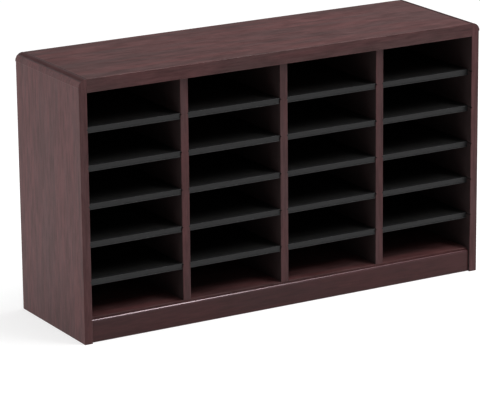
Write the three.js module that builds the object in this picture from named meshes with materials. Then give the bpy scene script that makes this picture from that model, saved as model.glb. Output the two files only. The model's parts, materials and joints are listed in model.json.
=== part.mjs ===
// Pigeonhole mail sorter: a desktop organiser of laminated board with thin shelves that slide out.
// Millimetres, +Z up, front facing -Y. The origin is on the floor, under the middle of the sorter.
import * as THREE from 'three';

// Overall size
const overallWidth = 1016;
const overallDepth = 298.5;
const overallHeight = 584;

// How the inside is divided
const columnCount = 4;
const rowCount = 6;
const topRowLoss = 6.2; // the top row is this much lower than the others

// Boards
const sideThickness = 19;
const topThickness = 30;
const bottomThickness = 19;
const dividerThickness = 19;
const backThickness = 3.2;
const backInset = 2; // the back panel lies this far in from the side panels' rear edges
const bandThickness = 1.5; // plastic edge band on the front edges
const floorHeight = 55; // upper face of the bottom panel

// Rounded strips along the long top corners
const mouldingHeight = 19;
const mouldingOverhang = 1; // how far the strip stands out past the side panel
const cornerRadius = 18;

// Rail across the front of the base
const railRecess = 5; // behind the side panels' front edges
const railThickness = 6.5;
const railStep = 3; // the rail's top edge lies this far below the bottom panel's upper face
const railFloorGap = 1;
const railEndGap = 1;
const railEdgeRadius = 5;

// Shelves and the grooves that they slide in
const shelfThickness = 3.2;
const grooveDepth = 2.2;
const slideGap = 0.2; // shelf to groove, all round
const shelfBackGap = 0.5; // shelf to back panel, when pushed home

// Label strips, pressed on the shelves' front edges
const stripHeight = 13.2;
const stripRecess = 2; // behind the dividers' front edges
const stripWall = 1;
const stripGrip = 8; // how far the two legs reach over and under the shelf
const stripEndGap = 0.4; // strip to the upright on each side
const labelSlotDepth = 0.8;
const labelLipThickness = 0.6;
const labelLipHeight = 1.2;
const gripGap = 0.15; // strip to shelf

// Joint lines between boards, and the fineness of the rounded edges
const seam = 0.1;
const arcSegments = 10;

// Planes that the pieces are set out from
const frontY = -overallDepth / 2;
const backY = overallDepth / 2;
const sideOuterX = overallWidth / 2 - mouldingOverhang;
const sideInnerX = sideOuterX - sideThickness;
const sideTopZ = overallHeight - mouldingHeight;
const topUndersideZ = overallHeight - topThickness;
const bottomUndersideZ = floorHeight - bottomThickness;
const bottomFrontY = frontY + railRecess + railThickness;
const dividerFrontY = bottomFrontY;
const stripFrontY = dividerFrontY + stripRecess;
const backPanelFrontY = backY - backInset - backThickness;

// Columns
const bayWidth = (2 * sideInnerX - (columnCount - 1) * dividerThickness) / columnCount;
const columnPitch = bayWidth + dividerThickness;
const bayCentreX = (column) => -sideInnerX + bayWidth / 2 + column * columnPitch;
const dividerCentreX = (divider) => bayCentreX(divider) + columnPitch / 2;

// Rows: every shelf is counted upwards from the bottom panel, which is row 0
const rowPitch = (topUndersideZ - floorHeight + topRowLoss) / rowCount;
const shelfRows = Array.from({ length: rowCount - 1 }, (unused, index) => index + 1);
const stripTopZ = (row) => floorHeight + row * rowPitch;
const shelfTopZ = (row) => stripTopZ(row) - stripWall - gripGap;
const grooveTopZ = (row) => shelfTopZ(row) + slideGap;
const grooveBottomZ = (row) => shelfTopZ(row) - shelfThickness - slideGap;

// Finishes
const laminate = { color: 0x5a3a3a, roughness: 0.42, metalness: 0 };
const edgeBand = { color: 0x573536, roughness: 0.45, metalness: 0 };
const railVinyl = { color: 0x452b2c, roughness: 0.3, metalness: 0 };
const darkMelamine = { color: 0x403434, roughness: 0.5, metalness: 0 };
const hardboard = { color: 0x121212, roughness: 0.7, metalness: 0 };
const labelPlastic = { color: 0x272829, roughness: 0.5, metalness: 0 };

const sorter = new THREE.Group();

function addPiece(name, geometry, finish) {
  const piece = new THREE.Mesh(geometry, new THREE.MeshStandardMaterial(finish));
  piece.name = name;
  sorter.add(piece);
  return piece;
}

// An outline drawn in X and Z, made into a solid from one Y to another.
function extrudeAlongY(outline, fromY, toY) {
  const geometry = new THREE.ExtrudeGeometry(outline, {
    depth: toY - fromY,
    bevelEnabled: false,
    curveSegments: arcSegments,
  });
  const standUp = new THREE.Matrix4().set(1, 0, 0, 0, 0, 0, -1, toY, 0, 1, 0, 0, 0, 0, 0, 1);
  return geometry.applyMatrix4(standUp);
}

// An outline drawn in Y and Z, made into a solid of the given length along X, centred on X = 0.
function extrudeAlongX(outline, length) {
  const geometry = new THREE.ExtrudeGeometry(outline, {
    depth: length,
    bevelEnabled: false,
    curveSegments: arcSegments,
  });
  const layAlongX = new THREE.Matrix4().set(0, 0, 1, -length / 2, 1, 0, 0, 0, 0, 1, 0, 0, 0, 0, 0, 1);
  return geometry.applyMatrix4(layAlongX);
}

function outlineOf(points) {
  return new THREE.Shape(points.map(([across, up]) => new THREE.Vector2(across, up)));
}

// A plain board between two corners.
function board(low, high) {
  const size = high.map((value, axis) => value - low[axis]);
  const centre = high.map((value, axis) => (value + low[axis]) / 2);
  return new THREE.BoxGeometry(...size).translate(...centre);
}

// An upright board's outline in X and Z, with a groove for every shelf on the faces that ask for it.
function groovedOutline({ leftX, rightX, bottomZ, topZ, grooveLeft, grooveRight }) {
  const rightGrooves = shelfRows.flatMap((row) => [
    [rightX, grooveBottomZ(row)],
    [rightX - grooveDepth, grooveBottomZ(row)],
    [rightX - grooveDepth, grooveTopZ(row)],
    [rightX, grooveTopZ(row)],
  ]);
  const leftGrooves = shelfRows.flatMap((row) => [
    [leftX, grooveBottomZ(row)],
    [leftX + grooveDepth, grooveBottomZ(row)],
    [leftX + grooveDepth, grooveTopZ(row)],
    [leftX, grooveTopZ(row)],
  ]);
  return outlineOf([
    [leftX, bottomZ],
    [rightX, bottomZ],
    ...(grooveRight ? rightGrooves : []),
    [rightX, topZ],
    [leftX, topZ],
    ...(grooveLeft ? leftGrooves.reverse() : []),
  ]);
}

// A grooved board and the band on its front edge, both cut by the same outline.
function addUpright(name, outline, fromY, toY, facing) {
  const boardFrontY = fromY + bandThickness + seam;
  addPiece(name, extrudeAlongY(outline, boardFrontY, toY), facing);
  addPiece(`${name}_edge_band`, extrudeAlongY(outline, fromY, fromY + bandThickness), edgeBand);
}

function addSidePanels() {
  const left = { leftX: -sideOuterX, rightX: -sideInnerX, bottomZ: 0, topZ: sideTopZ, grooveRight: true };
  const right = { leftX: sideInnerX, rightX: sideOuterX, bottomZ: 0, topZ: sideTopZ, grooveLeft: true };
  addUpright('left_side_panel', groovedOutline(left), frontY, backY, laminate);
  addUpright('right_side_panel', groovedOutline(right), frontY, backY, laminate);
}

function addDividers() {
  for (let divider = 0; divider < columnCount - 1; divider += 1) {
    const outline = groovedOutline({
      leftX: dividerCentreX(divider) - dividerThickness / 2,
      rightX: dividerCentreX(divider) + dividerThickness / 2,
      bottomZ: floorHeight + seam,
      topZ: topUndersideZ - seam,
      grooveLeft: true,
      grooveRight: true,
    });
    const dividerBackY = backPanelFrontY - seam;
    addUpright(`divider_${divider + 1}`, outline, dividerFrontY, dividerBackY, darkMelamine);
  }
}

// The rounded strip that caps a side panel: side is -1 on the left and 1 on the right.
function mouldingOutline(side) {
  const innerX = sideInnerX + seam;
  const outerX = sideOuterX + mouldingOverhang;
  const bottomZ = sideTopZ + seam;
  const radius = Math.min(cornerRadius, overallHeight - bottomZ - mouldingOverhang);
  const profile = new THREE.Path();
  profile.moveTo(innerX, bottomZ);
  profile.lineTo(sideOuterX, bottomZ);
  profile.absarc(sideOuterX, bottomZ + mouldingOverhang, mouldingOverhang, -Math.PI / 2, 0, false);
  profile.absarc(outerX - radius, overallHeight - radius, radius, 0, Math.PI / 2, false);
  profile.lineTo(innerX, overallHeight);
  return outlineOf(profile.getPoints(arcSegments).map((point) => [side * point.x, point.y]));
}

function addCornerMouldings() {
  addPiece('left_corner_moulding', extrudeAlongY(mouldingOutline(-1), frontY, backY), edgeBand);
  addPiece('right_corner_moulding', extrudeAlongY(mouldingOutline(1), frontY, backY), edgeBand);
}

function addTop() {
  const endX = sideInnerX - seam;
  const bandBackY = frontY + bandThickness;
  const topBoard = board([-endX, bandBackY + seam, topUndersideZ], [endX, backY, overallHeight]);
  const topBand = board([-endX, frontY, topUndersideZ], [endX, bandBackY, overallHeight]);
  addPiece('top_panel', topBoard, laminate);
  addPiece('top_panel_edge_band', topBand, edgeBand);
}

function addBase() {
  const endX = sideInnerX - seam;
  const bottomLow = [-endX, bottomFrontY + seam, bottomUndersideZ];
  const bottomHigh = [endX, backPanelFrontY - seam, floorHeight];
  addPiece('bottom_panel', board(bottomLow, bottomHigh), laminate);

  const railFrontY = frontY + railRecess;
  const railTopZ = floorHeight - railStep;
  const rail = new THREE.Shape();
  rail.moveTo(railFrontY, railFloorGap);
  rail.lineTo(bottomFrontY, railFloorGap);
  rail.lineTo(bottomFrontY, railTopZ);
  const arcCentreY = railFrontY + railEdgeRadius;
  rail.absarc(arcCentreY, railTopZ - railEdgeRadius, railEdgeRadius, Math.PI / 2, Math.PI, false);
  const railLength = 2 * (sideInnerX - railEndGap);
  addPiece('base_rail', extrudeAlongX(rail, railLength), railVinyl);
}

function addBack() {
  const endX = sideInnerX - seam;
  const low = [-endX, backPanelFrontY, bottomUndersideZ];
  const high = [endX, backY - backInset, topUndersideZ - seam];
  addPiece('back_panel', board(low, high), hardboard);
}

// Depths in the label strip's section, counted back from its front face.
const slotFrontDepth = labelLipThickness;
const webFrontDepth = slotFrontDepth + labelSlotDepth;
const webBackDepth = webFrontDepth + stripWall;
const legEndDepth = webBackDepth + stripGrip;

// The strip's section in Y and Z, from its front face and its top edge: a label slot between two
// lips in front, and two legs behind that grip the shelf.
function labelStripOutline() {
  const upperLegZ = -stripWall;
  const lowerLegTopZ = upperLegZ - shelfThickness - 2 * gripGap;
  const lowerLegZ = lowerLegTopZ - stripWall;
  const lowerLipZ = -stripHeight + stripWall;
  return outlineOf([
    [0, 0],
    [legEndDepth, 0],
    [legEndDepth, upperLegZ],
    [webBackDepth, upperLegZ],
    [webBackDepth, lowerLegTopZ],
    [legEndDepth, lowerLegTopZ],
    [legEndDepth, lowerLegZ],
    [webBackDepth, lowerLegZ],
    [webBackDepth, -stripHeight],
    [0, -stripHeight],
    [0, lowerLipZ + labelLipHeight],
    [slotFrontDepth, lowerLipZ + labelLipHeight],
    [slotFrontDepth, lowerLipZ],
    [webFrontDepth, lowerLipZ],
    [webFrontDepth, upperLegZ],
    [slotFrontDepth, upperLegZ],
    [slotFrontDepth, upperLegZ - labelLipHeight],
    [0, upperLegZ - labelLipHeight],
  ]);
}

// One shelf board, with its edges in the grooves on both sides.
function shelfBoard() {
  const halfWidth = bayWidth / 2 + grooveDepth - slideGap;
  const shelfFrontY = stripFrontY + webBackDepth + gripGap;
  const shelfBackY = backPanelFrontY - shelfBackGap;
  return board([-halfWidth, shelfFrontY, -shelfThickness], [halfWidth, shelfBackY, 0]);
}

function addShelves() {
  for (const row of shelfRows) {
    for (let column = 0; column < columnCount; column += 1) {
      const place = `row_${row}_column_${column + 1}`;
      const shelf = addPiece(`shelf_${place}`, shelfBoard(), hardboard);
      shelf.position.set(bayCentreX(column), 0, shelfTopZ(row));

      const stripLength = bayWidth - 2 * stripEndGap;
      const stripSolid = extrudeAlongX(labelStripOutline(), stripLength);
      const strip = addPiece(`label_strip_${place}`, stripSolid, labelPlastic);
      strip.position.set(bayCentreX(column), stripFrontY, stripTopZ(row));
    }
  }
}

addSidePanels();
addCornerMouldings();
addTop();
addBase();
addDividers();
addBack();
addShelves();

export default sorter;
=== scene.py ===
# %% [markdown]
# # A pigeonhole mail sorter
# This script dresses the solids of a desktop mail sorter: a carcass of laminated board, twenty thin
# shelves that slide out, and a plastic label strip on each of them. The solids give every place and
# size, so each piece below starts from the solid that it stands for.

# %% Load the solids
import json
import math

import bmesh
import bpy
from mathutils import Matrix, Vector


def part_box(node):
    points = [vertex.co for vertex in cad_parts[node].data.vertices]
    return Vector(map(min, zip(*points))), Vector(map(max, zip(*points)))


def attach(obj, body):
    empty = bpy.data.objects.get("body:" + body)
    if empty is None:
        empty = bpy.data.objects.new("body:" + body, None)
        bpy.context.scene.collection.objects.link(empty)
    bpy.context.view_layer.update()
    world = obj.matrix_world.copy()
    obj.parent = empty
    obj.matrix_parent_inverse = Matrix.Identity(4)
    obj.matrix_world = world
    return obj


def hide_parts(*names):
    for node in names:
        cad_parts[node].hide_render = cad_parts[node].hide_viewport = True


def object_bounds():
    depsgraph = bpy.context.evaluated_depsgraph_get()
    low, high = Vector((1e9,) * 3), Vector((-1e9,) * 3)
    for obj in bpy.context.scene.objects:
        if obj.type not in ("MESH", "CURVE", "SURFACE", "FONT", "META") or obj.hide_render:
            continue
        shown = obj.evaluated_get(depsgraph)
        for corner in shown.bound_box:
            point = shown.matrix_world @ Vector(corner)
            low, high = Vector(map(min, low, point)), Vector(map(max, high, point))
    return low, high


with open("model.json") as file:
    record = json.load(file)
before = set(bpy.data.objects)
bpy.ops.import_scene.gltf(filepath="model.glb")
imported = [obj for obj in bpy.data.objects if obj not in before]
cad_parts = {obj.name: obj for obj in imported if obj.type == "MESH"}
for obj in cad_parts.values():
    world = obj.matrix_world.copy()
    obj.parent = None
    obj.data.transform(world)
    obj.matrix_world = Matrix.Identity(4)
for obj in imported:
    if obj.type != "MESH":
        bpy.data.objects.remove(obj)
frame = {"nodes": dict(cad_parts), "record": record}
cad_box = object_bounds()
MM = 0.001

body_of_node = {}
for body_name, body_nodes in frame["record"]["behaviour"]["bodies"].items():
    for node_name in body_nodes:
        body_of_node[node_name] = body_name

# %% [markdown]
# ## Camera
# The camera stands in front of the sorter and to the left, well above it and far away, with a long lens.
# A short lens close by could frame the sorter as well, but its edges would run together. A long lens
# keeps the edges of a box nearly parallel, which is how furniture is mostly shown. The line of sight and
# a small roll are turned into the camera's own axes: right, up and backwards.

# %% Camera
image_width = 480
sensor_width = 36.0
focal_length_pixels = 3000.8
camera_place = Vector((-3271.5, -5590.4, 2074.3)) * MM
line_of_sight = Vector((0.48142, 0.83123, -0.27802))
camera_roll = math.radians(-0.599)
farthest_seen = 100.0

camera_data = bpy.data.cameras.new("camera")
camera_data.sensor_width = sensor_width
camera_data.lens = focal_length_pixels * sensor_width / image_width
camera_data.clip_end = farthest_seen
camera = bpy.data.objects.new("camera", camera_data)
bpy.context.scene.collection.objects.link(camera)
turned = line_of_sight.to_track_quat("-Z", "Y").to_matrix() @ Matrix.Rotation(camera_roll, 3, "Z")
camera.matrix_world = Matrix.Translation(camera_place) @ turned.to_4x4()
bpy.context.scene.camera = camera
bpy.context.scene.view_settings.view_transform = "Standard"
print("lens", round(camera_data.lens, 1), "mm")

# %% [markdown]
# ## Colour and nodes
# Colours are written as the sRGB hex values that a paint chart or a picture editor shows. Shaders
# work in linear light, so one function turns a hex value into that. A second small function adds a
# shader node, sets its inputs and links it, which keeps each material below short enough to read.

# %% Helpers for colours and shader nodes
def linear(hex_colour):
    """The colour's linear red, green and blue by the sRGB standard's curve, with an alpha of 1."""
    channels = []
    for start in (1, 3, 5):
        value = int(hex_colour[start:start + 2], 16) / 255
        channels.append(value / 12.92 if value <= 0.04045 else ((value + 0.055) / 1.055) ** 2.4)
    return (*channels, 1.0)


def add_node(material, kind, inputs=None, **settings):
    """A node of that kind. An input's value is a plain value, or another node's output socket."""
    tree = material.node_tree
    node = tree.nodes.new(kind)
    for name, value in settings.items():
        setattr(node, name, value)
    for name, value in (inputs or {}).items():
        if isinstance(value, bpy.types.NodeSocket):
            tree.links.new(value, node.inputs[name])
        else:
            node.inputs[name].default_value = value
    return node


def new_material(name):
    material = bpy.data.materials.new(name)
    material.use_nodes = True
    material.node_tree.nodes.clear()
    return material


def finish_material(material, shader_output):
    add_node(material, "ShaderNodeOutputMaterial", {"Surface": shader_output})
    return material


print("white is", linear("#ffffff"), "and mid grey is", [round(c, 3) for c in linear("#808080")])

# %% [markdown]
# ## Studio floor
# A pale floor runs far out on all sides. More light could make it white, but the sorter would then be
# too bright. So the floor glows a little, and only as the camera, reflections and glass see it. It reads
# as white there, and still takes the sorter's shadow.

# %% Floor paint
floor_grey = "#b4b4b4"
floor_glow = 0.66

floor_paint = new_material("matt_floor_paint")
rays = add_node(floor_paint, "ShaderNodeLightPath").outputs
direct_or_glossy = add_node(floor_paint, "ShaderNodeMath", operation="MAXIMUM", inputs={
    0: rays["Is Camera Ray"], 1: rays["Is Glossy Ray"]})
seen = add_node(floor_paint, "ShaderNodeMath", operation="MAXIMUM", inputs={
    0: direct_or_glossy.outputs[0], 1: rays["Is Transmission Ray"]})
glow = add_node(floor_paint, "ShaderNodeMath", operation="MULTIPLY", inputs={
    0: seen.outputs[0], 1: floor_glow})
paint = add_node(floor_paint, "ShaderNodeBsdfDiffuse", {"Color": linear(floor_grey)})
light = add_node(floor_paint, "ShaderNodeEmission", {"Strength": glow.outputs[0]})
both = add_node(floor_paint, "ShaderNodeAddShader", {0: paint.outputs[0], 1: light.outputs[0]})
finish_material(floor_paint, both.outputs[0])
print("made", floor_paint.name)

# %% Floor
floor_radius = 60.0
floor_sides = 96
floor_drop = 0.02 * MM


def make_object(name, shape, material):
    """Puts an object with the bmesh's shape and that material in the scene."""
    mesh = bpy.data.meshes.new(name)
    shape.to_mesh(mesh)
    shape.free()
    mesh.materials.append(material)
    made = bpy.data.objects.new(name, mesh)
    bpy.context.scene.collection.objects.link(made)
    return made


shape = bmesh.new()
bmesh.ops.create_circle(shape, cap_ends=True, segments=floor_sides, radius=floor_radius)
bmesh.ops.translate(shape, verts=shape.verts, vec=(0, 0, cad_box[0].z - floor_drop))
floor = make_object("floor", shape, floor_paint)
print("floor", floor_radius, "m out")

# %% [markdown]
# ## Studio light
# One lamp could light the sorter, but dark satin board shows its shape by what it reflects. So the key
# light is a long strip softbox overhead on the right, which runs from front to back and draws a thin
# bright line along the rounded edges that face it. A wide sun lamp lights the floor evenly and softens
# the shadows. A low softbox on the left lights that side, and leaves the rounded corner above it in half
# shade. A pale panel behind on the left is there to be seen in the glossier finishes on that side. The
# world adds an even, dim light.

# %% Lamps
strip_place = Vector((1.80, -1.72, 3.87))
strip_target = strip_place - Vector((0, 0, 1))
strip_width = 0.45
strip_length = 5.1
strip_turn = math.radians(8)
strip_power = 190.0
sun_place = Vector((0.20, -0.25, 0.95))
sun_target = Vector((0, 0, 0))
sun_strength = 1.1
sun_angle = math.radians(60)
side_place = Vector((-1.9, 0.10, 0.60))
side_target = Vector((-0.5, 0.10, 0.35))
side_width = 1.2
side_height = 0.6
side_power = 6.6
panel_place = Vector((-1.65, 2.10, 1.30))
panel_target = Vector((-0.50, 0.00, 1.30))
panel_width = 2.0
panel_height = 1.5
panel_power = 10.0


def add_lamp(name, kind, place, target, power):
    lamp = bpy.data.objects.new(name, bpy.data.lights.new(name, kind))
    bpy.context.scene.collection.objects.link(lamp)
    lamp.location = place
    lamp.rotation_euler = (target - place).to_track_quat("-Z", "Y").to_euler()
    lamp.data.energy = power
    lamp.visible_camera = False
    return lamp


def add_softbox(name, place, target, power, width, height):
    lamp = add_lamp(name, "AREA", place, target, power)
    lamp.data.shape = "RECTANGLE"
    lamp.data.size = width
    lamp.data.size_y = height
    return lamp


strip_lamp = add_softbox("strip_lamp", strip_place, strip_target, strip_power, strip_width, strip_length)
strip_lamp.rotation_euler.z += strip_turn
sun_lamp = add_lamp("sun_lamp", "SUN", sun_place, sun_target, sun_strength)
sun_lamp.data.angle = sun_angle
add_softbox("side_lamp", side_place, side_target, side_power, side_width, side_height)
add_softbox("panel_lamp", panel_place, panel_target, panel_power, panel_width, panel_height)
print("strip", strip_power, "W, side", side_power, "W, panel", panel_power, "W, sun", sun_strength, "W/m2")

# %% World
world_strength = 0.2

world = bpy.data.worlds.new("studio")
world.use_nodes = True
background = world.node_tree.nodes["Background"]
background.inputs["Color"].default_value = linear("#ffffff")
background.inputs["Strength"].default_value = world_strength
bpy.context.scene.world = world
print("world", world_strength)

# %% [markdown]
# ## Mahogany laminate
# The boards are particle board faced with a melamine print of mahogany. It is satin, dark red brown,
# with wide ribbons, a soft mottle, fine streaks and short dark pores, all along the grain. A Wave texture
# could draw the lines, but it is too regular for wood. So each of them is noise that is squeezed across
# the grain and stretched along it: a Mapping node scales the Object coordinates by a real streak's width
# and length. The noises darken the brown one after the other. The print's grain runs up the uprights and
# along the long boards, hence one material for each.

# %% Noise along the grain
AXIS_NUMBER = {"x": 0, "y": 1, "z": 2}
NOISE_ROUGHNESS = 0.6


def stretched_noise(material, coordinates, axis, width, length, detail, place=(0, 0, 0)):
    """Noise whose features are about width across the grain and length along it, both in metres."""
    scale = [1 / width] * 3
    scale[AXIS_NUMBER[axis]] = 1 / length
    mapping = add_node(material, "ShaderNodeMapping", {
        "Vector": coordinates, "Scale": scale, "Location": place})
    noise = add_node(material, "ShaderNodeTexNoise", {
        "Vector": mapping.outputs[0], "Scale": 1.0, "Detail": detail, "Roughness": NOISE_ROUGHNESS})
    return noise.outputs["Fac"]


def add_ramp(material, factor, stops):
    """A colour ramp between two stops, each a position and a hex colour."""
    ramp = add_node(material, "ShaderNodeValToRGB", {"Fac": factor})
    for element, (position, colour) in zip(ramp.color_ramp.elements, stops):
        element.position = position
        element.color = linear(colour)
    return ramp.outputs["Color"]


print("grain can run along", list(AXIS_NUMBER))

# %% Printed woodgrain
# The layers over the brown go from soft to fine. A layer is fully dark where its noise is under dark_below
# and clear where it is over clear_above. A real pore is a third of a millimetre wide, which is too fine
# to show, so it is drawn as wide as it needs to be seen.
GRAIN_LAYERS = {
    "mottle": {"noise": {"width": 24 * MM, "length": 70 * MM, "detail": 2.0, "place": (1.7, 4.3, 6.2)},
               "dark_below": 0.36, "clear_above": 0.60, "share": 0.5},
    "fleck": {"noise": {"width": 5 * MM, "length": 60 * MM, "detail": 3.0, "place": (3.1, 7.7, 1.3)},
              "dark_below": 0.36, "clear_above": 0.56, "share": 0.75},
    "pore": {"noise": {"width": 1.2 * MM, "length": 16 * MM, "detail": 2.0, "place": (5.3, 2.9, 8.1)},
             "dark_below": 0.32, "clear_above": 0.44, "share": 0.5}}
RIBBON = {"width": 26 * MM, "length": 260 * MM, "detail": 3.0}
RIBBON_BROWN = 0.36
RIBBON_RED = 0.62
PORE_DEPTH = 0.05 * MM
PORE_RELIEF = 0.12
# A Mix node has sockets of the same name for numbers and for colours, so its colour ones go by number.
MIX_FACTOR = 0
MIX_COLOUR_A = 6
MIX_COLOUR_B = 7
MIX_COLOUR_RESULT = 2


def woodgrain(name, axis, brown, red, dark, roughness, gloss, relief=PORE_RELIEF, gloss_tint="#ffffff"):
    """A printed mahogany: wide ribbons from brown to red, and the dark layers over them."""
    material = new_material(name)
    coordinates = add_node(material, "ShaderNodeTexCoord").outputs["Object"]
    ribbon = stretched_noise(material, coordinates, axis, **RIBBON)
    colour = add_ramp(material, ribbon, [(RIBBON_BROWN, brown), (RIBBON_RED, red)])
    noises = {}
    for layer_name, layer in GRAIN_LAYERS.items():
        noises[layer_name] = stretched_noise(material, coordinates, axis, **layer["noise"])
        marks = add_ramp(material, noises[layer_name], [
            (layer["dark_below"], dark), (layer["clear_above"], "#ffffff")])
        mixed = add_node(material, "ShaderNodeMix", data_type="RGBA", blend_type="MULTIPLY", inputs={
            MIX_FACTOR: layer["share"], MIX_COLOUR_A: colour, MIX_COLOUR_B: marks})
        colour = mixed.outputs[MIX_COLOUR_RESULT]
    bump = add_node(material, "ShaderNodeBump", {
        "Height": noises["pore"], "Strength": relief, "Distance": PORE_DEPTH})
    shader = add_node(material, "ShaderNodeBsdfPrincipled", {
        "Base Color": colour, "Roughness": roughness, "Specular IOR Level": gloss,
        "Specular Tint": linear(gloss_tint), "Normal": bump.outputs[0]})
    return finish_material(material, shader.outputs[0])


print("ribbons and", len(GRAIN_LAYERS), "layers over them")

# %% Mahogany finishes
# Melamine and the glued bands are satin. The extruded moulding and the vinyl wrap are smoother, so they
# have less relief and a tighter shine, and the rubbed vinyl shines most.
melamine_satin = {"roughness": 0.40, "gloss": 0.16}
band_satin = {"roughness": 0.42, "gloss": 0.2}
# The vinyl brown is darker than the boards' brown as painted shade, for the shade that falls low on the
# rail.
vinyl_print_painted_shade = {"axis": "x", "brown": "#422627", "red": "#4a2829", "dark": "#e0d8d8"}
laminate = {
    "x": woodgrain("mahogany_melamine_long_grain", "x", "#543d3d", "#634040", "#c2b2b2", **melamine_satin),
    "z": woodgrain("mahogany_melamine_upright_grain", "z", "#5f3c3d", "#693d3e", "#cababa",
                   **melamine_satin)}
edge_band = {
    "x": woodgrain("mahogany_pvc_long_band", "x", "#523838", "#5b3839", "#ccbfbf", **band_satin),
    "z": woodgrain("mahogany_pvc_upright_band", "z", "#553b3c", "#5e3b3c", "#ccbfbf", **band_satin)}
# The moulding's darker brown is painted shade: it stands in for the half shade on faces that turn up and
# out.
moulding_painted_shade = woodgrain("mahogany_pvc_moulding_painted_shade", "y", "#3f2526", "#452728", "#dcd2d2",
                         roughness=0.30, gloss=0.2, relief=0.02)
rail_vinyl_painted_shade = woodgrain("mahogany_vinyl_wrap_painted_shade", **vinyl_print_painted_shade, roughness=0.32, gloss=0.2, relief=0.03)
rail_nosing = woodgrain("rubbed_mahogany_vinyl_painted_shade", **vinyl_print_painted_shade, roughness=0.22, gloss=0.6, relief=0.02,
                        gloss_tint="#ffeaf2")
print("laminate and band along", list(laminate))

# %% [markdown]
# ## Black hardboard
# The shelves and the back are 3 mm hardboard: wood fibre pressed hard and lacquered black. It is matt,
# and the fibres leave a faint mottling and a slightly uneven surface. A flat black would do from afar,
# but it looks like a hole close by, so two sizes of noise give the mottling and the fibre. A fibre is
# a tenth of a millimetre wide, which is too fine to show, so it is drawn as coarse as it needs to be.

# %% Lacquered hardboard
CLOUD_DARK = 0.35
CLOUD_PALE = 0.65


def clouded_finish(name, dark, pale, cloud, grit, roughness, gloss):
    """A finish with soft clouds between two colours and a fine grit that breaks up its gloss."""
    material = new_material(name)
    coordinates = add_node(material, "ShaderNodeTexCoord").outputs["Object"]
    clouds = add_node(material, "ShaderNodeTexNoise", {
        "Vector": coordinates, "Scale": 1 / cloud["size"], "Detail": cloud["detail"]})
    grains = add_node(material, "ShaderNodeTexNoise", {
        "Vector": coordinates, "Scale": 1 / grit["size"], "Detail": grit["detail"]})
    colour = add_ramp(material, clouds.outputs["Fac"], [(CLOUD_DARK, dark), (CLOUD_PALE, pale)])
    bump = add_node(material, "ShaderNodeBump", {
        "Height": grains.outputs["Fac"], "Strength": grit["relief"], "Distance": grit["depth"]})
    shader = add_node(material, "ShaderNodeBsdfPrincipled", {
        "Base Color": colour, "Roughness": roughness, "Specular IOR Level": gloss,
        "Normal": bump.outputs[0]})
    return finish_material(material, shader.outputs[0])


hardboard = clouded_finish(
    "black_lacquered_hardboard", "#101010", "#191817", cloud={"size": 14 * MM, "detail": 5.0},
    grit={"size": 1.6 * MM, "detail": 3.0, "relief": 0.25, "depth": 0.08 * MM}, roughness=0.6, gloss=0.3)
print("made", hardboard.name)

# %% [markdown]
# ## Dark melamine
# Inside the pigeonholes the uprights are faced in plain, very dark brown melamine, so the openings
# read as black. The foil has a fine pebble, which keeps its gloss soft. It is built up as the hardboard
# is, so the same function makes it, with wider clouds and a finer grit. The real pebble is a quarter of
# a millimetre wide and is drawn coarser, so that it shows.

# %% Melamine foil
dark_melamine = clouded_finish(
    "dark_brown_melamine_foil", "#3d3131", "#433636", cloud={"size": 45 * MM, "detail": 3.0},
    grit={"size": 0.9 * MM, "detail": 2.0, "relief": 0.2, "depth": 0.04 * MM}, roughness=0.42, gloss=0.3)
print("made", dark_melamine.name)

# %% [markdown]
# ## Label plastic
# A label strip is a length of extruded PVC, dark grey and satin. The die leaves faint lines along the
# strip. They could be modelled, but they are far too shallow to change the outline, so a noise that is
# stretched along X draws them, wider than they are and nearly too weak to see.

# %% Extruded plastic
die_line = {"axis": "x", "width": 0.8 * MM, "length": 400 * MM, "detail": 2.0}
die_line_dark = 0.3
die_line_pale = 0.7
die_line_depth = 0.02 * MM
die_line_relief = 0.1
plastic_roughness = 0.4
plastic_gloss = 0.31

label_plastic = new_material("dark_grey_extruded_pvc")
coordinates = add_node(label_plastic, "ShaderNodeTexCoord").outputs["Object"]
lines = stretched_noise(label_plastic, coordinates, **die_line)
colour = add_ramp(label_plastic, lines, [(die_line_dark, "#19191a"), (die_line_pale, "#202021")])
bump = add_node(label_plastic, "ShaderNodeBump", {
    "Height": lines, "Strength": die_line_relief, "Distance": die_line_depth})
shader = add_node(label_plastic, "ShaderNodeBsdfPrincipled", {
    "Base Color": colour, "Roughness": plastic_roughness, "Specular IOR Level": plastic_gloss,
    "Normal": bump.outputs[0]})
finish_material(label_plastic, shader.outputs[0])
print("made", label_plastic.name)

# %% [markdown]
# ## Zinc-plated steel
# The back is held by small nails of drawn steel with a thin zinc plating. The plating is pale grey and
# soft in its shine, with faint clouds where it is thicker. It is a metal, so its colour is the colour of
# its reflection, and a noise between two greys is enough for the clouds.

# %% Zinc plating
zinc_cloud = 1.5 * MM
zinc_detail = 2.0
zinc_roughness = 0.38

zinc = new_material("zinc_plated_steel")
coordinates = add_node(zinc, "ShaderNodeTexCoord").outputs["Object"]
clouds = add_node(zinc, "ShaderNodeTexNoise", {
    "Vector": coordinates, "Scale": 1 / zinc_cloud, "Detail": zinc_detail})
colour = add_ramp(zinc, clouds.outputs["Fac"], [(CLOUD_DARK, "#8f9194"), (CLOUD_PALE, "#a9abad")])
shader = add_node(zinc, "ShaderNodeBsdfPrincipled", {
    "Base Color": colour, "Metallic": 1.0, "Roughness": zinc_roughness})
finish_material(zinc, shader.outputs[0])
print("made", zinc.name)

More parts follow.
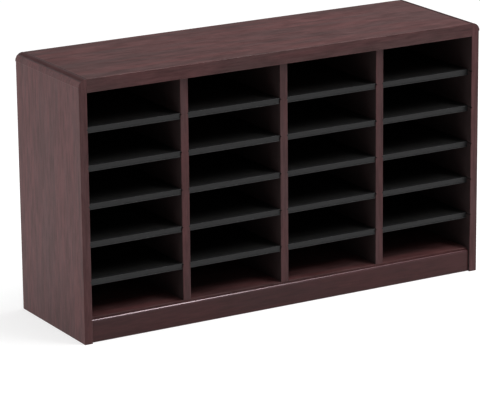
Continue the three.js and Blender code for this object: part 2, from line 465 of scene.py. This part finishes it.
# %% [markdown]
# ## From a solid to a piece
# No cut board has a knife edge: sanding leaves a radius of half a millimetre or so, and that radius is
# what catches the light. Every board could be modelled again, but the solids already have the right
# outlines and grooves, so each piece starts as a copy of its solid. The copy is loose triangles, so its
# points are merged and its flat faces are dissolved into single faces. Only then is there one edge along
# each corner, which the bevel operator can round. Smooth shading would bend the light across a flat face
# that lies beside a bevel, so a Weighted Normal modifier lets the large faces decide.

# %% Copies and pieces
SHARP_ANGLE = math.radians(30)
FLAT_ANGLE = math.radians(0.5)
MERGE_DISTANCE = 0.001 * MM
LARGE_FACE_WEIGHT = 100


def merged_copy(node):
    """The solid's shape with one point at each corner and one face on each flat side."""
    shape = bmesh.new()
    shape.from_mesh(frame["nodes"][node].data)
    bmesh.ops.remove_doubles(shape, verts=shape.verts, dist=MERGE_DISTANCE)
    bmesh.ops.dissolve_limit(shape, angle_limit=FLAT_ANGLE, verts=shape.verts, edges=shape.edges)
    return shape


def add_piece(name, shape, material, node):
    """Makes an object of the bmesh, which stands for the node and rides on its body."""
    piece = make_object(name, shape, material)
    piece.data.shade_smooth()
    piece.data.set_sharp_from_angle(angle=SHARP_ANGLE)
    flat_faces = piece.modifiers.new("flat_faces", "WEIGHTED_NORMAL")
    flat_faces.weight = LARGE_FACE_WEIGHT
    flat_faces.keep_sharp = True
    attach(piece, body_of_node[node])
    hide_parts(node)
    return piece


def cover_faces(piece, material, is_covered):
    """Gives the faces that is_covered picks another material."""
    piece.data.materials.append(material)
    number = len(piece.data.materials) - 1
    for face in piece.data.polygons:
        if is_covered(face):
            face.material_index = number


print("an edge is sharp over", round(math.degrees(SHARP_ANGLE)), "degrees")

# %% Picking and easing edges
TOUCHING = 0.01 * MM
EASE_STEPS = 2


def sharp_edges(shape):
    return [edge for edge in shape.edges if edge.calc_face_angle(0) > SHARP_ANGLE]


def lies_in(edge, axis, place):
    """Whether the edge lies in the plane where that coordinate has that value."""
    return all(abs(getattr(vert.co, axis) - place) < TOUCHING for vert in edge.verts)


def runs_along(edge, axis):
    """Whether the edge is parallel to that axis."""
    across = edge.verts[1].co - edge.verts[0].co
    setattr(across, axis, 0)
    return across.length < TOUCHING


def ease(shape, edges, width, steps=EASE_STEPS):
    """Rounds the edges with that width, or chamfers them in a single step."""
    bmesh.ops.bevel(shape, geom=edges, offset=width, segments=steps, profile=0.5, affect="EDGES",
                    material=-1, clamp_overlap=True)


print("points within", TOUCHING / MM, "mm of a plane lie in it")

# %% [markdown]
# ## Uprights
# The side panels and the dividers are boards with a groove for every shelf. The side panels are mahogany
# outside and dark inside, so the faces of their inner half get the dark melamine. A saw leaves the end of
# a groove as a ramp, so behind the back panel the side panels' grooves rise to the surface and let no
# light through. Filling each groove with a block would do too, but it would leave a seam. A cut across
# the board gives each ramp its lower end, and the points at its upper end only have to be moved.

# %% Side panels
FACING = 0.5
board_ease = 0.5 * MM
sides = ["left_side_panel", "right_side_panel"]


def run_out_grooves(shape, low, high):
    """Turns the part of each groove that lies behind the back panel into a ramp."""
    inner_x, outer_x = sorted((low.x, high.x), key=abs)
    ramp_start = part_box("back_panel")[0]
    everything = shape.verts[:] + shape.edges[:] + shape.faces[:]
    bmesh.ops.bisect_plane(shape, geom=everything, plane_co=ramp_start, plane_no=(0, 1, 0))
    for vert in shape.verts:
        from_faces = min(abs(vert.co.x - inner_x), abs(vert.co.x - outer_x))
        if from_faces > TOUCHING and high.y - vert.co.y < TOUCHING:
            vert.co.x = inner_x
    bmesh.ops.remove_doubles(shape, verts=shape.verts, dist=MERGE_DISTANCE)


for node in sides:
    low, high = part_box(node)
    middle_x = abs(low.x + high.x) / 2
    shape = merged_copy(node)
    run_out_grooves(shape, low, high)
    open_edges = [edge for edge in sharp_edges(shape)
                  if lies_in(edge, "y", high.y) or lies_in(edge, "z", low.z)]
    ease(shape, open_edges, board_ease)
    panel = add_piece(node + "_board", shape, laminate["z"], node)
    cover_faces(panel, dark_melamine,
                lambda face: abs(face.center.x) < middle_x and abs(face.normal.y) < FACING)
print(len(sides), "side panels")

# %% Dividers
dividers = ["divider_1", "divider_2", "divider_3"]
for node in dividers:
    shape = merged_copy(node)
    ease(shape, sharp_edges(shape), board_ease)
    add_piece(node + "_board", shape, dark_melamine, node)
print(len(dividers), "dividers")

# %% [markdown]
# ## Edge bands
# A plastic band with a woodgrain print is glued on each raw front edge and then trimmed with a small
# radius. The band is as thick as a coin, so the radius takes up most of it. All its edges could be
# rounded at once, but at its ends the band butts against its neighbour, and a bevel there would open
# the joint. So only the two long front edges are rounded.

# %% Edge bands
band_radius = 1.0 * MM
band_steps = 4
band_runs = {"top_panel_edge_band": "x"}
for upright in sides + dividers:
    band_runs[upright + "_edge_band"] = "z"
for node, run in band_runs.items():
    front_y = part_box(node)[0].y
    shape = merged_copy(node)
    long_edges = [edge for edge in sharp_edges(shape)
                  if lies_in(edge, "y", front_y) and runs_along(edge, run)]
    ease(shape, long_edges, band_radius, band_steps)
    add_piece(node + "_trimmed", shape, edge_band[run], node)
print(len(band_runs), "edge bands")

# %% [markdown]
# ## Top and corner mouldings
# The top is a thick slab between two plastic mouldings, which round off the long corners and stand a
# millimetre proud of the sides. The slab's ends are chamfered, and the chamfers get the moulding's
# darker brown, which shows in that joint as a fine line of painted shade. A moulding is cut from a long
# extrusion. A spin could draw its quarter circle, but that comes with the solid, so only the cut ends
# need their edges broken. Its front end looks like the band below it, and its steep outside faces get
# the side's print. Its upper half, which turns up and out, keeps the darker brown as painted shade, so
# it shows as a dark stripe.

# %% Top panel
joint_chamfer = 2.0 * MM
chamfer_steps = 1
low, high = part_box("top_panel")
shape = merged_copy("top_panel")
end_edges = [edge for edge in sharp_edges(shape) if lies_in(edge, "z", high.z) and runs_along(edge, "y")]
ease(shape, end_edges, joint_chamfer, chamfer_steps)
rear_edges = [edge for edge in sharp_edges(shape) if lies_in(edge, "y", high.y) and runs_along(edge, "x")]
ease(shape, rear_edges, board_ease)
top = add_piece("top_panel_board", shape, laminate["x"], "top_panel")
# The chamfers get the moulding's darker brown, a fine line of painted shade.
cover_faces(top, moulding_painted_shade, lambda face: abs(face.normal.x) > FACING and face.normal.z > FACING)
print("top", [round(side / MM, 1) for side in high - low], "mm")

# %% Corner mouldings
mouldings = ["left_corner_moulding", "right_corner_moulding"]
side_tilt = math.sin(math.radians(45))


def is_front_end(face):
    return face.normal.y < -FACING


def is_steep_outside(face):
    """Whether the face is on the moulding's outside and steeper than halfway round."""
    outside = face.center.x * face.normal.x > 0
    return outside and abs(face.normal.x) > side_tilt and not is_front_end(face)


for node in mouldings:
    low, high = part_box(node)
    inner_x = min(low.x, high.x, key=abs)
    shape = merged_copy(node)
    cut_edges = [edge for edge in sharp_edges(shape)
                 if lies_in(edge, "y", low.y) or lies_in(edge, "y", high.y)]
    open_edges = [edge for edge in cut_edges
                  if not lies_in(edge, "x", inner_x) and not lies_in(edge, "z", low.z)]
    ease(shape, open_edges, board_ease)
    # The darker brown on the moulding's upper faces is painted shade; the steep outside faces get the
    # side's print.
    moulding = add_piece(node + "_strip", shape, moulding_painted_shade, node)
    cover_faces(moulding, edge_band["z"], is_front_end)
    cover_faces(moulding, laminate["z"], is_steep_outside)
print(len(mouldings), "corner mouldings")

# %% [markdown]
# ## Base
# The bottom panel is a plain board. The rail in front of it is wrapped in a smooth vinyl, and its upper
# front edge is a nosing that hands and mail have rubbed to a shine. The nosing could be a strip of its
# own, but the wrap runs round it without a seam. So the rail is a cube that is stretched to the solid's
# box, one edge of it is bevelled wide, and the new faces get the shinier finish. The wrap's brown is
# painted darker than the boards' brown, to stand in for the shade that falls low on the rail.

# %% Bottom panel and base rail
nosing_radius = 5.0 * MM
nosing_steps = 12
least_slant = 0.01

shape = merged_copy("bottom_panel")
ease(shape, sharp_edges(shape), board_ease)
add_piece("bottom_panel_board", shape, laminate["x"], "bottom_panel")

low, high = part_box("base_rail")
shape = bmesh.new()
bmesh.ops.create_cube(shape, size=1.0)
bmesh.ops.scale(shape, verts=shape.verts, vec=high - low)
bmesh.ops.translate(shape, verts=shape.verts, vec=(low + high) / 2)
upper_edge = [edge for edge in shape.edges if lies_in(edge, "y", low.y) and lies_in(edge, "z", high.z)]
ease(shape, upper_edge, nosing_radius, nosing_steps)
rail = add_piece("base_rail_wrapped", shape, rail_vinyl_painted_shade, "base_rail")
cover_faces(rail, rail_nosing, lambda face: face.normal.y < -least_slant and face.normal.z > least_slant)
print("nosing of", nosing_radius / MM, "mm in", nosing_steps, "steps")

# %% [markdown]
# ## Back panel and its nails
# The back is one sheet of hardboard that lies between the sides. It is nailed from behind into what it
# lies on: the bottom panel's rear edge and the dividers'. A nail's head is a shallow cone with a flat
# top, 6 mm across. Each head could be an object, but they never move apart, so all of them are one.

# %% Back panel
shape = merged_copy("back_panel")
ease(shape, sharp_edges(shape), board_ease)
add_piece("back_panel_board", shape, hardboard, "back_panel")
low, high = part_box("back_panel")
print("back", [round(side / MM, 1) for side in high - low], "mm")

# %% Nails
nail_head = 6.0 * MM
nail_top = 4.4 * MM
nail_proud = 0.7 * MM
nail_sides = 16
nail_edge = 9.5 * MM
nail_columns = 9
nail_rows = 5
up_to_back = Matrix.Rotation(math.radians(-90), 4, "X")

nail_places = []
for column in range(nail_columns):
    x = low.x + nail_edge + (high.x - low.x - 2 * nail_edge) * column / (nail_columns - 1)
    nail_places.append((x, low.z + nail_edge))
for divider in dividers:
    x = (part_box(divider)[0].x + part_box(divider)[1].x) / 2
    for row in range(1, nail_rows + 1):
        z = low.z + nail_edge + (high.z - low.z - 2 * nail_edge) * row / nail_rows
        nail_places.append((x, z))
shape = bmesh.new()
for x, z in nail_places:
    lie = Matrix.Translation((x, high.y + nail_proud / 2, z)) @ up_to_back
    bmesh.ops.create_cone(shape, cap_ends=True, segments=nail_sides, radius1=nail_head / 2,
                          radius2=nail_top / 2, depth=nail_proud, matrix=lie)
nails = make_object("back_panel_nails", shape, zinc)
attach(nails, "carcass")
print(len(nail_places), "nails")

# %% [markdown]
# ## Shelves and label strips
# Twenty thin shelves slide in the grooves. Each has a plastic strip pressed on its front edge, with two
# lips that hold a paper label. An array could repeat one shelf, but each slides on its own, so each is
# a piece of its own. The strip is an extrusion, so its edges are only just broken, and the shelf's sawn
# edges are sanded rounder.

# %% Shelves and label strips
shelf_ease = 0.5 * MM
strip_ease = 0.25 * MM
shelves = [node for node in frame["nodes"] if node.startswith("shelf_")]
for node in shelves:
    shape = merged_copy(node)
    ease(shape, sharp_edges(shape), shelf_ease)
    add_piece(node + "_board", shape, hardboard, node)
    strip = node.replace("shelf_", "label_strip_")
    shape = merged_copy(strip)
    ease(shape, sharp_edges(shape), strip_ease)
    add_piece(strip + "_extrusion", shape, label_plastic, strip)
print(len(shelves), "shelves, each with its label strip")
